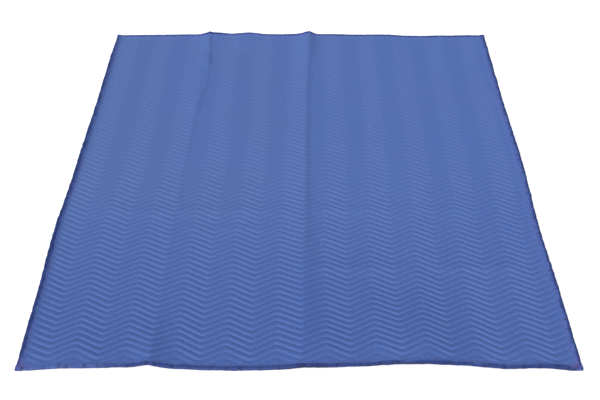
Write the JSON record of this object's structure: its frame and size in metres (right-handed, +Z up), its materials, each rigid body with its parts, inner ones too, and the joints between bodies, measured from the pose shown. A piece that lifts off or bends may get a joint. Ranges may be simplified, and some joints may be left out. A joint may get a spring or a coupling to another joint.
{
  "type": "moving blanket",
  "caption": "Quilted moving blanket laid flat, with zigzag stitched rows, soft fold creases, a wavy outline and tape binding on all four edges.",
  "frame": {"origin": "centre of the laid blanket's bounding box, on the surface it lies on", "axes": "+X across the blanket, along the stitched rows, +Y from the front edge to the back edge, +Z up"},
  "size_m": [1.8498, 2.0354, 0.0327],
  "materials": {
    "quilted_cloth": "matt woven polyester and cotton, mid blue, quilted in zigzag rows",
    "binding_tape": "woven polyester tape, dark indigo, folded over the edge and stitched"
  },
  "bodies": {
    "root": {"quilted_panel": "quilted_cloth", "binding_left": "binding_tape", "binding_right": "binding_tape", "binding_front": "binding_tape", "binding_back": "binding_tape"}
  },
  "joints": []
}
